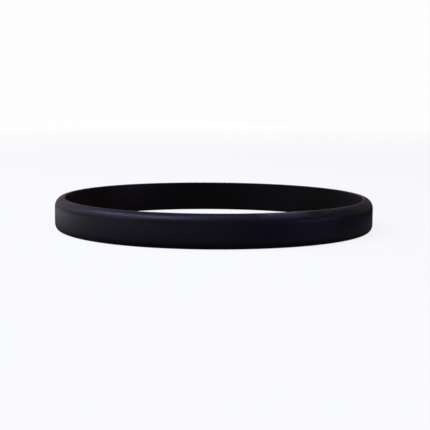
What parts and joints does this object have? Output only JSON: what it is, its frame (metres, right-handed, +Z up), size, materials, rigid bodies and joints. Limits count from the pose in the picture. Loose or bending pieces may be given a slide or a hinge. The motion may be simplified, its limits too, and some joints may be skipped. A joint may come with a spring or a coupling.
{
  "type": "silicone wristband",
  "caption": "Thin plain silicone wristband: a closed soft ring with a flat outer side, rounded outer shoulders and a smooth skin side, stretched over the hand to wear.",
  "frame": {"origin": "centre of the ring, on the surface that the band lies on", "axes": "+Z up along the ring's axis, from the lower edge to the upper edge; the ring is the same all round, so X and Y are any two directions in the plane of the surface"},
  "size_m": [0.0662, 0.0662, 0.0064],
  "materials": {
    "silicone": "matt moulded silicone, near black with a cool tint"
  },
  "bodies": {
    "root": {"band": "silicone"}
  },
  "joints": []
}
